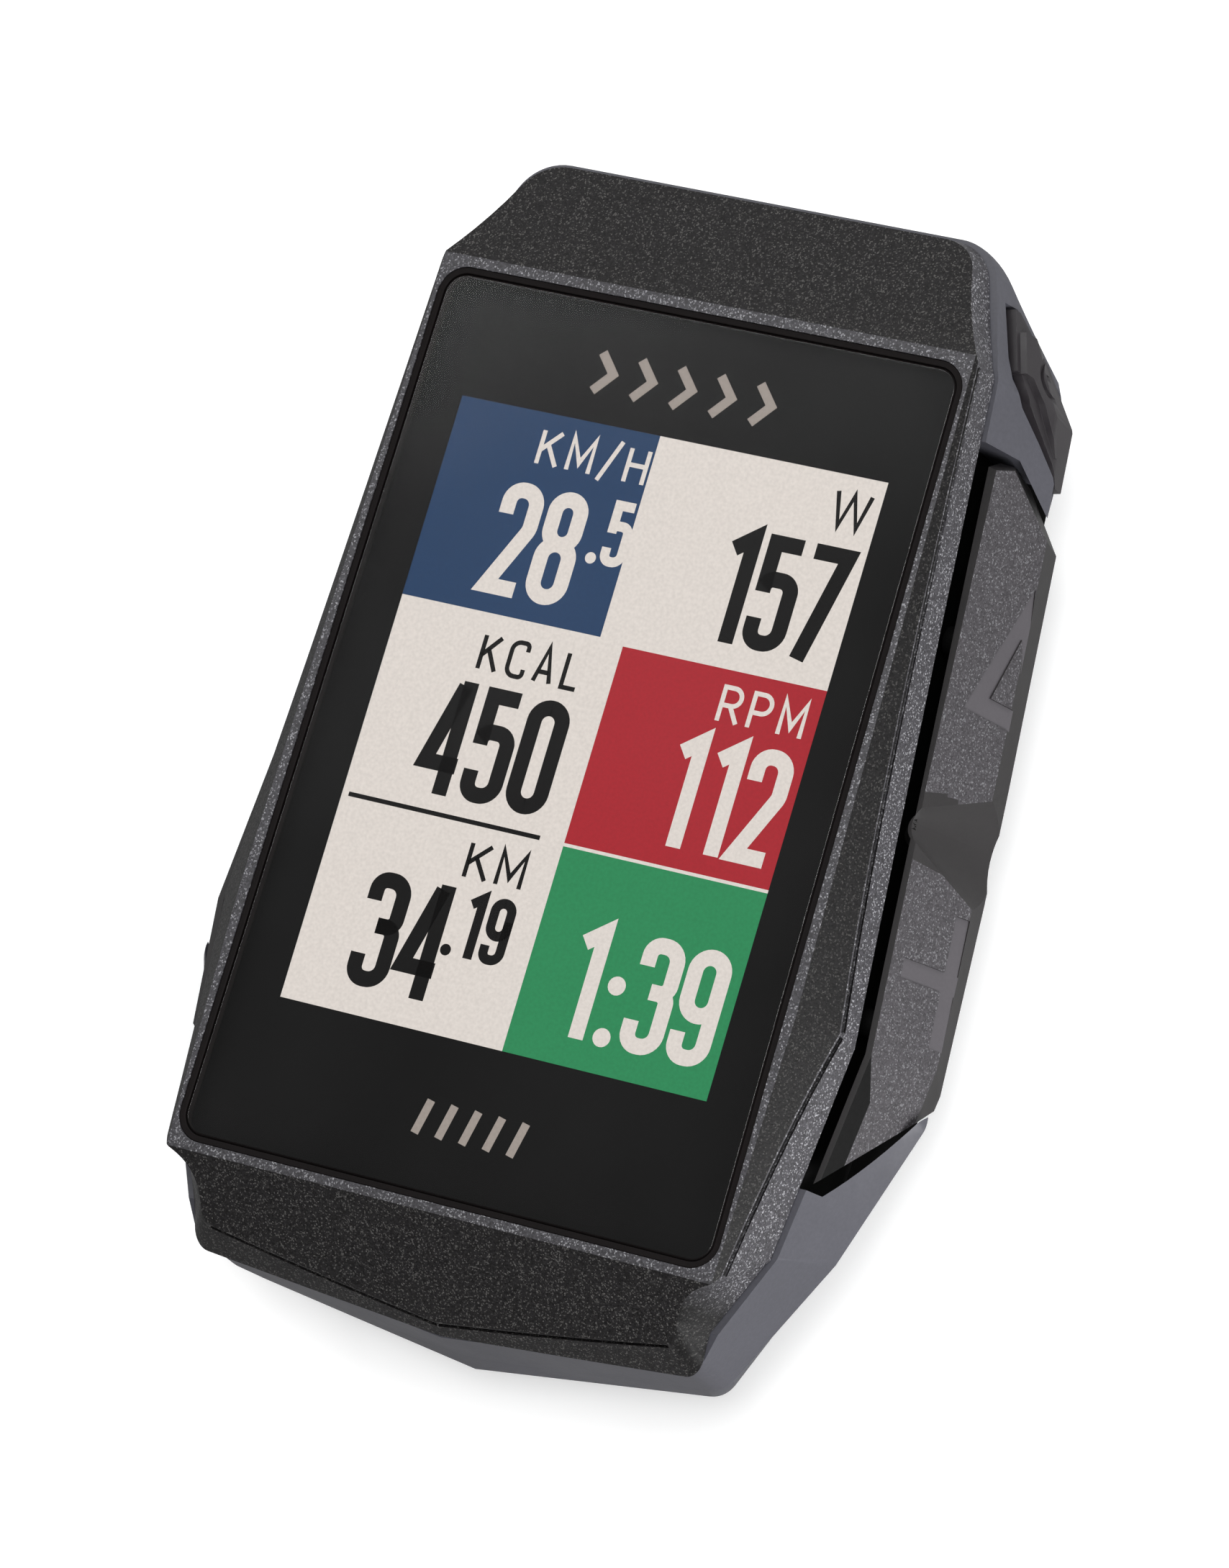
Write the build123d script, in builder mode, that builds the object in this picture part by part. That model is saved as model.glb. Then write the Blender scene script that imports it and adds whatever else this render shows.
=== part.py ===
"""Cycling computer: a GPS handlebar computer with a colour display, two side rockers, a power
button, a charging-port cover and a quarter-turn mount.

Millimetres. The case lies on its back: +X is the rider's right, +Y the top of the display and
+Z out of the display. The origin is the middle of the mount's rest face, below the display's centre.
"""
from build123d import *
import math
import os

os.makedirs("parts", exist_ok=True)

# ---------------------------------------------------------------- driving dimensions
rim_z = 17.0                 # flat rim round the lens
lens_z = rim_z - 0.1         # outer face of the lens
display_z = rim_z - 0.9      # face of the display, bonded to the lens
ledge_z = display_z - 0.2    # shelf in the cover that the lens is taped to
ledge_low_z = rim_z - 2.6
low_z = rim_z - 5.9          # level that the cover's tapering side is drawn to
back_z = 3.6                 # flat back of the case
floor_z = back_z + 1.4       # inside of the back wall
pocket_floor_z = 5.6         # shelf under the side rockers
side_top_x, side_top_y = 17.2, 25.4   # half width where the straight sides begin
side_slope = 0.0705          # growth of the half width per millimetre downwards
shoulder_y = -12.9           # where the sides turn inwards again
seam_gap = 0.12              # visible line between the cover and the shell
pocket_inset = 1.2           # outer face of the wall behind a rocker, from the side line
cavity_inset = 2.4           # inner face of that wall
board_z = 11.8               # underside of the main board
board_top_z = board_z + 0.8
board_inset = 3.7            # board's edge, from the side line
panel_size = (30.0, 42.5)    # display module; its active area is 26.97 x 35.97
panel_y = -1.2
running_clearance = 0.05     # radial clearance of a pin in its bore

key_top_z = 12.9             # rocker's front edge
key_ridge_z = 8.1            # where its face turns to the side
key_low_z = 5.8
key_reach = 11.0             # pivot to each of a rocker's posts
key_post_z = 10.9
pivot_x = 18.9               # pin that a rocker turns on
pivot_radius = 0.5
ear_low_z, ear_top_z = 8.0, 9.2   # ear on the case between the rocker's two knuckles
ear_gap = 0.15

port_y = -24.0               # charging port
port_pin_y, port_pin_z = -20.3, 4.55
port_pin_radius = 0.45

case_post_z = 8.7            # foot of the cover's screw posts
case_screw_spots = [(-8.5, 22.4), (8.5, 22.4), (-12.6, -25.0), (12.6, -25.0)]
board_screw_spots = [(-11.2, 25.0), (-9.0, -26.6), (9.0, -26.6)]
mount_screw_spots = [(0, -7.5), (0, 7.5)]
mount_core_radius = 10.8
mount_tab_radius = 15.4


def side_x(y):
    """Half width of the case at height y, along the straight part of its side."""
    return side_top_x + (side_top_y - y) * side_slope


def finish(builder, name):
    """Label a finished piece and write it as its own STEP file."""
    builder.part.label = name
    export_step(builder.part, f"parts/{name}.step")


def near(vertices, x, y):
    """The vertices at (x, y) and at its mirror image across the YZ plane."""
    return [v for v in vertices if math.hypot(abs(v.X) - x, v.Y - y) < 0.01]


def outline(height, corners, radii=None, grow=0.0):
    """Symmetric outline at one height, from the corners of its right half."""
    with BuildSketch(Plane.XY.offset(height)) as sketch:
        with BuildLine():
            Polyline(*corners)
            mirror(about=Plane.YZ)
        make_face()
        for index, radius in (radii or {}).items():
            fillet(near(sketch.vertices(), *corners[index]), radius)
        if grow:
            offset(amount=grow)
    return sketch.sketch


def facet(first, second, third, out=0.0):
    """Plane through three corners of the case, facing away from its middle and moved out by out."""
    origin, along, across = Vector(*first), Vector(*second), Vector(*third)
    normal = (along - origin).cross(across - origin).normalized()
    if normal.dot(origin - Vector(0, 0, key_ridge_z)) < 0:
        normal = normal * -1
    return Plane(origin=origin + normal * out, x_dir=along - origin, z_dir=normal)


# ---------------------------------------------------------------- shape of the case
corner_radii = {1: 3.0, 2: 1.2, 3: 1.5, 4: 0.8, 5: 1.6}

# The cover's side leans outwards from the rim's level to the seam.
cover_rim_corners = [(0, 32.2), (12.7, 32.2), (16.9, 25.7), (18.4, -11.8), (17.35, -27.7),
                     (13.9, -29.4), (0, -30.7)]
cover_low_corners = [(0, 33.3), (15.3, 33.3), (17.35, 25.0), (21.2, -13.7), (19.46, -24.0),
                     (16.64, -33.24), (0, -34.13)]

# The shell carries on from the seam, flares to its widest level and turns in to the back.
shell_levels = {
    14.6: [(0, 33.0), (14.3, 33.0), (17.2, 25.4), (19.9, -12.9), (18.65, -25.4), (15.9, -31.9),
           (0, -33.5)],
    key_ridge_z: [(0, 33.4), (15.2, 33.4), (19.4, 25.0), (23.15, -15.6), (20.25, -24.2),
                  (15.9, -32.6), (0, -34.3)],
    5.9: [(0, 33.2), (14.8, 33.2), (18.7, 24.6), (21.9, -15.6), (18.8, -24.2), (15.2, -32.7),
          (0, -34.7)],
    back_z: [(0, 31.6), (13.2, 31.6), (16.7, 23.6), (19.4, -15.2), (16.8, -23.6), (13.6, -31.0),
             (0, -32.9)],
}

# The seam's height along Y: it dips at both ends of the case.
seam_profile = [(36.0, 13.1), (26.0, 14.4), (-13.0, 13.6), (-30.0, 13.35), (-36.0, 10.65)]

# The upper back slopes forward to the thin top edge.
back_slope = [(0, 32.8, 13.1), (5, 32.8, 13.1), (0, 22.5, 3.83)]
back_wall = 1.4


def seam_band(below, above):
    """Strip of the YZ plane that follows the seam, from below under it to above over it."""
    lower = [(y, z - below) for y, z in seam_profile]
    upper = [(y, z + above) for y, z in reversed(seam_profile)]
    with BuildSketch(Plane.YZ) as sketch:
        with BuildLine():
            Polyline(*lower, *upper, close=True)
        make_face()
    return sketch.sketch


rim_corner, low_corner = (16.75, 25.7, rim_z), (17.2, -27.7, rim_z)
shoulder, rim_shoulder = (19.42, -12.4, rim_z - 2.15), (17.55, -12.4, rim_z)
cover_facets = [
    facet((0, 25.87, rim_z), (5, 25.87, rim_z), (0, 32.5, rim_z - 2.5)),
    facet((0, -27.75, rim_z), (5, -27.75, rim_z), (0, -33.2, rim_z - 4.3)),
    facet(rim_corner, shoulder, rim_shoulder),
    facet(low_corner, shoulder, rim_shoulder),
]
for x, y, z in (rim_corner, low_corner):
    cover_facets.append(facet((-x, y, z), (-shoulder[0], *shoulder[1:]),
                              (-rim_shoulder[0], *rim_shoulder[1:])))

with BuildPart() as cover_envelope:
    loft([outline(rim_z, cover_rim_corners, corner_radii),
          outline(low_z, cover_low_corners, corner_radii)], ruled=True)
    for plane in cover_facets:
        split(bisect_by=plane, keep=Keep.BOTTOM)
    extrude(to_extrude=seam_band(8, 0), amount=30, both=True, mode=Mode.SUBTRACT)

with BuildPart() as shell_envelope:
    loft([outline(z, corners, corner_radii) for z, corners in shell_levels.items()], ruled=True)
    split(bisect_by=facet(*back_slope), keep=Keep.BOTTOM)

# ---------------------------------------------------------------- front cover
lens_corners = [(0, 24.84), (16.15, 24.84), (16.68, -26.80), (0, -26.80)]
lens_radii = {1: 1.3, 2: 1.3}
gasket_width = 0.4
cover_cavity = [(0, 30.2), (11.2, 30.2), (14.6, 24.4), (17.3, shoulder_y), (16.0, -25.6),
                (13.4, -29.0), (0, -29.0)]
case_post_radius = 2.1
board_post_radius = 1.7
board_hole_radius = 0.8
insert_radius, insert_height = 1.5, 3.0
groove_drop, groove_radius, groove_shortest = 0.3, 0.2, 6.0

# A fine groove follows each long crease between the cover's top and its side, just below it.
crease_edges = []
for edge in cover_envelope.edges():
    tilts = [
        f.normal_at(edge @ 0.5).Z
        for f in cover_envelope.faces()
        if any(edge.is_same(other) for other in f.edges())
    ]
    if edge.length > groove_shortest and max(tilts) > 0.55 and -0.5 < min(tilts) < 0.55:
        crease_edges.append(edge)

with BuildPart() as front_cover:
    add(cover_envelope.part)
    for edge in crease_edges:
        lowered = edge.moved(Location((0, 0, -groove_drop)))
        with BuildSketch(Plane(origin=lowered @ 0, z_dir=lowered % 0)):
            Circle(groove_radius)
        sweep(path=lowered, mode=Mode.SUBTRACT)
    # Seat of the lens and its gasket, with the display's opening below it.
    extrude(to_extrude=outline(ledge_z, lens_corners, lens_radii, grow=gasket_width),
            amount=rim_z - ledge_z, mode=Mode.SUBTRACT)
    with BuildSketch(Plane.XY.offset(ledge_low_z - 1)):
        with Locations((0, panel_y)):
            Rectangle(panel_size[0] + 0.4, panel_size[1] + 0.4)
    extrude(amount=3, mode=Mode.SUBTRACT)
    extrude(to_extrude=outline(low_z - 1, cover_cavity), amount=ledge_low_z - low_z + 1,
            mode=Mode.SUBTRACT)
    with BuildSketch(Plane.XY.offset(board_top_z)):
        with Locations(*board_screw_spots):
            Circle(board_post_radius)
    extrude(amount=ledge_low_z - board_top_z + 0.2)
    with BuildSketch(Plane.XY.offset(case_post_z)):
        with Locations(*case_screw_spots):
            Circle(case_post_radius)
    extrude(amount=ledge_low_z - case_post_z + 0.2)
    with BuildSketch(Plane.XY.offset(board_top_z)):
        with Locations(*board_screw_spots):
            Circle(board_hole_radius)
    extrude(amount=2.1, mode=Mode.SUBTRACT)
    with BuildSketch(Plane.XY.offset(case_post_z)):
        with Locations(*case_screw_spots):
            Circle(insert_radius)
    extrude(amount=insert_height + 1, mode=Mode.SUBTRACT)

with BuildPart() as display_lens:
    extrude(to_extrude=outline(display_z, lens_corners, lens_radii), amount=lens_z - display_z)
    chamfer(display_lens.faces().sort_by(Axis.Z)[-1].edges(), 0.12)
finish(display_lens, "display_lens")

with BuildPart() as lens_gasket:
    extrude(to_extrude=outline(ledge_z, lens_corners, lens_radii, grow=gasket_width - 0.02),
            amount=lens_z - ledge_z + 0.04)
    extrude(to_extrude=outline(ledge_z, lens_corners, lens_radii, grow=0.02),
            amount=rim_z - ledge_z, mode=Mode.SUBTRACT)
finish(lens_gasket, "lens_gasket")

with BuildPart() as lens_tape:
    extrude(to_extrude=outline(ledge_z, lens_corners, lens_radii, grow=-0.1),
            amount=display_z - ledge_z)
    with BuildSketch(Plane.XY.offset(ledge_z)):
        with Locations((0, panel_y)):
            Rectangle(panel_size[0] + 0.6, panel_size[1] + 0.6)
    extrude(amount=1, mode=Mode.SUBTRACT)
finish(lens_tape, "lens_tape")

# ---------------------------------------------------------------- seal and rear shell
shell_cavity = [(0, 31.0), (11.6, 31.0), (14.9, 24.4), (side_x(shoulder_y) - cavity_inset, shoulder_y),
                (17.3, -20.5), (16.7, -24.8), (14.2, -30.2), (0, -31.4)]
seal_inset, seal_width, seal_height = 0.3, 0.6, 0.9

with BuildPart() as housing_seal:
    extrude(to_extrude=outline(floor_z, shell_cavity, grow=seal_inset + seal_width), amount=12)
    extrude(to_extrude=outline(floor_z, shell_cavity, grow=seal_inset), amount=12, mode=Mode.SUBTRACT)
    extrude(to_extrude=seam_band(seal_height / 2, seal_height / 2), amount=30, both=True,
            mode=Mode.INTERSECT)
finish(housing_seal, "housing_seal")

with BuildPart() as sealed_cover:
    add(front_cover.part)
    add(housing_seal.part, mode=Mode.SUBTRACT)
finish(sealed_cover, "front_cover")

# The rocker pocket is open to the side; its two ends run along the ends of the rocker.
pocket_corners = [
    (side_x(21.75) - pocket_inset, 21.75), (18.63, 21.75), (27.0, 7.0), (27.0, -7.3),
    (19.95, -21.1), (18.3, -21.1), (side_x(shoulder_y) - pocket_inset, shoulder_y),
]
post_radius, boot_hole_radius = 0.8, 1.6
boss_radius, boss_top_z = 2.9, case_post_z - 0.1
counterbore_z, counterbore_radius, case_bore_radius = 7.0, 2.0, 1.1
mount_boss_radius, mount_boss_top_z = 2.0, 6.3
ear_radius = 0.9
tab_y, tab_width, tab_z = 5.0, 2.0, 7.2
pin_foot_z, pin_tip_z = 5.0, 10.2

# The power button spans the bend between the corner wall and the side wall.
button_plane = Plane(origin=(18.6, 25.2, 0), x_dir=(-0.2225, 0.975, 0), z_dir=(0.975, 0.2225, 0))
corner_wall = ((14.3, 33.0, 14.1), (17.2, 25.4, 14.1), (19.4, 25.0, key_ridge_z))
side_wall = ((17.2, 25.4, 14.1), (19.9, shoulder_y, 14.1), (19.4, 25.0, key_ridge_z))
side_ridges = [((15.2, 33.4, key_ridge_z), (19.4, 25.0, key_ridge_z), (19.4, 25.0, 12.0)),
               ((23.15, -15.6, key_ridge_z), (19.4, 25.0, key_ridge_z), (19.4, 25.0, 12.0))]
recess_corners = [(5.4, 12.85), (2.1, 13.1), (0.9, 12.9), (-0.5, 11.9), (-2.05, 9.95), (-3.5, 8.3),
                  (-4.4, 7.8), (-4.4, 6.4), (-0.7, 6.4), (5.4, 11.5)]
flange_corners = [(5.2, 12.2), (1.5, 12.5), (1.45, 12.1), (0.8, 11.85), (-0.2, 11.4), (-2.85, 8.7),
                  (-4.05, 7.8), (-4.05, 6.8), (-0.55, 6.8), (5.1, 11.8)]
cap_corners = [(3.9, 12.0), (1.4, 12.2), (1.3, 11.6), (0.45, 11.05), (-1.2, 9.8), (-2.5, 8.7),
               (-2.5, 7.3), (-0.4, 7.5), (3.8, 11.0)]
button_depth, flange_height, cap_height = 0.8, 0.15, 0.5
stem_z, stem_radius, stem_length = 9.6, 0.8, 4.1
stem_hole_radius, stem_seal_radius = 0.95, 1.5
button_travel = 0.3

port_pad_z = 7.0
port_slot = (10.4, 4.6)
port_recess, port_recess_y = (15.6, 7.3), -24.95
knuckle_width, knuckle_slot = 10.6, 2.8
port_knuckle_radius, port_pin_half = 0.9, 7.4
vent_spot, vent_radius = (-11.3, -18.8), 0.5
mount_hole_radius = 0.9


def button_prism(corners):
    """Prism on one outline of the power button, along its direction of travel."""
    with BuildPart() as prism:
        with BuildSketch(button_plane):
            with BuildLine():
                Polyline(*corners, close=True)
            make_face()
        extrude(amount=7, both=True)
    return prism.part


def behind_walls(out):
    """Block behind the two walls that the power button spans, moved out by out.

    It never passes the case's widest line, where both walls turn in."""
    with BuildPart() as block:
        with Locations((12, 25, 9)):
            Box(24, 26, 16)
        for wall in (corner_wall, side_wall):
            split(bisect_by=facet(*wall, out=out), keep=Keep.BOTTOM)
        for ridge in side_ridges:
            split(bisect_by=facet(*ridge, out=min(out, 0.0)), keep=Keep.BOTTOM)
    return block.part


with BuildPart() as button_recess:
    add(button_prism(recess_corners))
    add(behind_walls(-button_depth), mode=Mode.SUBTRACT)

with BuildPart() as cavity_block:
    extrude(to_extrude=outline(floor_z, shell_cavity), amount=12)
    split(bisect_by=facet(*back_slope, out=-back_wall), keep=Keep.BOTTOM)

with BuildPart() as shell_bosses:
    with BuildSketch(Plane.XY.offset(floor_z - 1)):
        with Locations(*case_screw_spots):
            Circle(boss_radius)
    extrude(amount=boss_top_z - floor_z + 1)
    with BuildSketch(Plane.XY.offset(floor_z - 1)):
        with Locations(*mount_screw_spots):
            Circle(mount_boss_radius)
    extrude(amount=mount_boss_top_z - floor_z + 1)
    with BuildSketch(Plane.XY.offset(floor_z - 1)):
        with Locations((0, port_y + 0.2)):
            Rectangle(18, 11.6)
    extrude(amount=port_pad_z - floor_z + 1)
    add(shell_envelope.part, mode=Mode.INTERSECT)

with BuildPart() as rear_shell:
    add(shell_envelope.part)
    extrude(to_extrude=seam_band(seam_gap, 8), amount=30, both=True, mode=Mode.SUBTRACT)
    add(cavity_block.part, mode=Mode.SUBTRACT)
    add(shell_bosses.part)
    # Pockets for the two rockers, each open to the side and to the front.
    with BuildSketch(Plane.XY.offset(pocket_floor_z)):
        with BuildLine():
            Polyline(*pocket_corners, close=True)
        make_face()
        mirror(about=Plane.YZ)
    extrude(amount=12, mode=Mode.SUBTRACT)
    for side in (-1, 1):
        for y in (-key_reach, key_reach):
            with BuildSketch(Plane.YZ.offset(side * (side_x(y) - 1.8))):
                with Locations((y, key_post_z)):
                    Circle(boot_hole_radius)
            extrude(amount=1.2, both=True, mode=Mode.SUBTRACT)
        for y in (-tab_y, tab_y):
            with Locations((side * (side_x(y) - pocket_inset), y, tab_z)):
                Box(1.2, tab_width + 0.6, 1.6, mode=Mode.SUBTRACT)
    # Ears for the rocker pins, which are pressed in from the underside.
    with BuildSketch(Plane.XY.offset(ear_low_z)):
        with Locations((-pivot_x, 0), (pivot_x, 0)):
            Circle(ear_radius)
        with Locations((0.8 - pivot_x, 0), (pivot_x - 0.8, 0)):
            Rectangle(1.6, 2 * ear_radius)
    extrude(amount=ear_top_z - ear_low_z)
    with BuildSketch(Plane.XY):
        with Locations((-pivot_x, 0), (pivot_x, 0)):
            Circle(pivot_radius)
    extrude(amount=ear_top_z, mode=Mode.SUBTRACT)
    # Power button: recess, stem hole and the wider seat of its seal.
    add(button_recess.part, mode=Mode.SUBTRACT)
    with BuildSketch(button_plane):
        with Locations((0, stem_z)):
            Circle(stem_hole_radius)
    extrude(amount=-6, mode=Mode.SUBTRACT)
    with BuildSketch(button_plane.offset(-1.9)):
        with Locations((0, stem_z)):
            Circle(stem_seal_radius)
    extrude(amount=-4, mode=Mode.SUBTRACT)
    # Screws that close the case and hold the mount.
    with BuildSketch(Plane.XY):
        with Locations(*case_screw_spots):
            Circle(counterbore_radius)
    extrude(amount=counterbore_z, mode=Mode.SUBTRACT)
    with BuildSketch(Plane.XY):
        with Locations(*case_screw_spots):
            Circle(case_bore_radius)
    extrude(amount=boss_top_z + 1, mode=Mode.SUBTRACT)
    with BuildSketch(Plane.XY.offset(back_z)):
        with Locations(*mount_screw_spots):
            Circle(mount_hole_radius)
    extrude(amount=2.4, mode=Mode.SUBTRACT)
    # Charging port: recess, knuckle slot, pin hole and the slot for the plug.
    with BuildSketch(Plane.XY.offset(back_z)):
        with Locations((0, port_recess_y)):
            RectangleRounded(*port_recess, 1.2)
    extrude(amount=floor_z - back_z, mode=Mode.SUBTRACT)
    with BuildSketch(Plane.XY.offset(back_z)):
        with Locations((0, port_pin_y)):
            Rectangle(knuckle_width, knuckle_slot)
    extrude(amount=2.0, mode=Mode.SUBTRACT)
    with BuildSketch(Plane.XY.offset(back_z)):
        with Locations((0, port_y)):
            SlotOverall(*port_slot)
    extrude(amount=port_pad_z - back_z, mode=Mode.SUBTRACT)
    with BuildSketch(Plane.YZ):
        with Locations((port_pin_y, port_pin_z)):
            Circle(port_pin_radius)
    extrude(amount=port_pin_half, both=True, mode=Mode.SUBTRACT)
    with BuildSketch(Plane.XY.offset(back_z)):
        with Locations(vent_spot):
            Circle(vent_radius)
    extrude(amount=floor_z - back_z, mode=Mode.SUBTRACT)
    add(housing_seal.part, mode=Mode.SUBTRACT)
finish(rear_shell, "rear_shell")

# ---------------------------------------------------------------- side rockers
rocker_levels = {
    key_top_z: [(17.57, 21.4), (18.09, 21.4), (19.44, 2.0), (19.85, -1.8), (20.77, -12.95),
                (19.78, -22.0), (19.45, -22.0), (20.4, -12.95)],
    key_ridge_z: [(17.5, 21.4), (20.05, 21.4), (21.45, 3.5), (22.1, -2.7), (22.8, -12.3),
                  (21.7, -22.0), (18.3, -22.0), (20.3, -12.95)],
    key_low_z: [(17.5, 21.4), (19.83, 21.4), (21.35, 4.1), (21.85, -2.3), (22.5, -13.4),
                (21.4, -22.0), (18.3, -22.0), (20.3, -12.95)],
}

# Slanted cuts that shape the rocker's two ends.
rocker_ends = [
    ((18.15, 20.6, key_top_z), (17.65, 20.7, key_top_z), (18.7, 21.02, 11.6)),
    ((18.7, 21.02, 11.6), (20.3, 18.2, key_ridge_z), (20.13, 17.95, key_low_z)),
    ((19.97, -20.29, key_top_z), (22.43, -15.49, key_ridge_z), (19.3, -18.3, key_ridge_z)),
]
nose_radius, nose_x, nose_low_z = 0.95, 20.0, 11.0
post_foot, post_length = 0.85, 1.7   # how far a post reaches in from the side line, and its length
knuckle_radius = 0.9
symbol_depth = 0.12
stroke = 1.15


def rocker_section(height, corners):
    """Closed section of the right rocker at one height."""
    with BuildSketch(Plane.XY.offset(height)) as sketch:
        with BuildLine():
            Polyline(*corners, close=True)
        make_face()
    return sketch.sketch


def lobe_face(front_high, front_low, ridge):
    """Plane of a lobe's face: x runs up its front edge, y from its ridge to that edge."""
    high, low = Vector(*front_high), Vector(*front_low)
    along = (high - low).normalized()
    return Plane(origin=low, x_dir=along, z_dir=along.cross(Vector(*ridge) - low) * -1)


def mirrored_plane(plane):
    """The same face on the left rocker, with x still running up."""
    origin, up, out = (Vector(-v.X, v.Y, v.Z) for v in (plane.origin, plane.x_dir, plane.z_dir))
    return Plane(origin=origin, x_dir=up, z_dir=out)


front = rocker_levels[key_top_z]
upper_face = lobe_face((*front[1], key_top_z), (*front[2], key_top_z), (20.94, 10.0, key_ridge_z))
lower_face = lobe_face((*front[3], key_top_z), (*front[4], key_top_z), (22.49, -8.0, key_ridge_z))
triangle_outer = [(13.25, -5.1), (5.3, -1.5), (5.0, -6.3)]
triangle_inner = [(10.25, -4.9), (6.4, -3.45), (6.25, -6.1)]
plus_middle, plus_upright_y = (5.25, -3.7), -4.8
plus_length, plus_reach = 7.6, 5.5

# The thumb groove between the lobes widens from the front edge to the ridge.
groove_start = Vector(19.85, 0.2, key_top_z)
groove_run = (Vector(21.75, 0.4, key_ridge_z) - groove_start).normalized()
groove_out = Vector(0.93, 0, 0.368)

with BuildPart() as thumb_groove:
    for along, out, radius in ((-1.0, 0.25, 0.77), (8.0, 6.15, 7.35)):
        middle = groove_start + groove_run * along + groove_out * out
        with BuildSketch(Plane(origin=middle, z_dir=groove_run)):
            Circle(radius)
    loft()

with BuildPart() as rocker_blank:
    loft([rocker_section(z, corners) for z, corners in sorted(rocker_levels.items())], ruled=True)
    for corners in rocker_ends:
        split(bisect_by=facet(*corners), keep=Keep.BOTTOM)
    with BuildSketch(Plane.XY.offset(nose_low_z)):
        with Locations((nose_x, 0)):
            Circle(nose_radius)
    extrude(amount=key_top_z - nose_low_z)
    with BuildSketch(Plane.XY.offset(key_low_z)):
        with Locations((pivot_x, 0)):
            Circle(knuckle_radius)
        with Locations((pivot_x + 0.8, 0)):
            Rectangle(1.6, 2 * knuckle_radius)
    extrude(amount=pin_tip_z + 0.4 - key_low_z)
    add(thumb_groove.part, mode=Mode.SUBTRACT)
    with Locations((pivot_x, 0, (ear_low_z + ear_top_z) / 2)):
        Box(2.3, 3.4, ear_top_z - ear_low_z + 2 * ear_gap, mode=Mode.SUBTRACT)
    for y in (-key_reach, key_reach):
        with BuildSketch(Plane.YZ.offset(side_x(y) - post_foot)):
            with Locations((y, key_post_z)):
                Circle(post_radius)
        extrude(amount=post_length)
    for y in (-tab_y, tab_y):
        with Locations((side_x(y) - 0.3, y, tab_z)):
            Box(2.7, tab_width, 1.0)
    with BuildSketch(Plane.XY.offset(key_low_z)):
        with Locations((pivot_x, 0)):
            Circle(pivot_radius + running_clearance)
    extrude(amount=pin_tip_z + 0.2 - key_low_z, mode=Mode.SUBTRACT)

with BuildPart() as rocker_right:
    add(rocker_blank.part)
    with BuildSketch(upper_face.offset(-symbol_depth)):
        Polygon(*triangle_outer, align=None)
        Polygon(*triangle_inner, align=None, mode=Mode.SUBTRACT)
    extrude(amount=2, mode=Mode.SUBTRACT)
    with BuildSketch(lower_face.offset(-symbol_depth)):
        with Locations(plus_middle):
            Rectangle(stroke, plus_reach)
        with Locations((plus_middle[0], plus_upright_y)):
            Rectangle(plus_length, stroke)
    extrude(amount=2, mode=Mode.SUBTRACT)
finish(rocker_right, "rocker_right")

with BuildPart() as rocker_left:
    add(mirror(rocker_blank.part, about=Plane.YZ))
    tip_x, foot_x = triangle_outer[0][0], triangle_outer[2][0]
    with BuildSketch(mirrored_plane(upper_face).offset(-symbol_depth)):
        Polygon(*[(tip_x + foot_x - x, -y) for x, y in triangle_outer], align=None)
        Polygon(*[(tip_x + foot_x - x, -y) for x, y in triangle_inner], align=None,
                mode=Mode.SUBTRACT)
    extrude(amount=2, mode=Mode.SUBTRACT)
    with BuildSketch(mirrored_plane(lower_face).offset(-symbol_depth)):
        with Locations((plus_middle[0], -plus_middle[1])):
            Rectangle(stroke, plus_reach)
    extrude(amount=2, mode=Mode.SUBTRACT)
finish(rocker_left, "rocker_left")

with BuildPart() as rocker_pins:
    with BuildSketch(Plane.XY.offset(pin_foot_z)):
        with Locations((-pivot_x, 0), (pivot_x, 0)):
            Circle(pivot_radius)
    extrude(amount=pin_tip_z - pin_foot_z)
    chamfer(rocker_pins.faces().sort_by(Axis.Z)[-2:].edges(), 0.15)
finish(rocker_pins, "rocker_pins")

# ---------------------------------------------------------------- power button
icon_radius, icon_line, icon_depth = 1.4, 0.35, 0.2
icon_middle = button_plane.from_local_coords(Vector(1.7, 9.5, 0))

with BuildPart() as button_cap:
    add(button_prism(cap_corners))
    add(behind_walls(cap_height), mode=Mode.INTERSECT)

with BuildPart() as power_button:
    add(button_prism(flange_corners))
    add(behind_walls(flange_height), mode=Mode.INTERSECT)
    add(button_cap.part)
    add(behind_walls(-button_depth + button_travel + 0.1), mode=Mode.SUBTRACT)
    with BuildSketch(button_plane):
        with Locations((0, stem_z)):
            Circle(stem_radius)
    extrude(amount=-stem_length)
    # Ring and bar of the power symbol, cut into the upper half of the cap.
    icon_plane = facet(*corner_wall, out=cap_height - icon_depth)
    height = (icon_middle - icon_plane.origin).dot(icon_plane.z_dir)
    foot = icon_middle - icon_plane.z_dir * height
    with BuildSketch(Plane(origin=foot, x_dir=(0, 0, 1), z_dir=icon_plane.z_dir)):
        Circle(icon_radius)
        Circle(icon_radius - icon_line, mode=Mode.SUBTRACT)
        Rectangle(icon_radius * 1.1, icon_line)
    extrude(amount=1, mode=Mode.SUBTRACT)
finish(power_button, "power_button")

with BuildPart() as power_button_seal:
    with BuildSketch(button_plane.offset(-2.4)):
        with Locations((0, stem_z)):
            Circle(stem_seal_radius)
            Circle(stem_radius + running_clearance, mode=Mode.SUBTRACT)
    extrude(amount=-0.9)
finish(power_button_seal, "power_button_seal")

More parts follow.
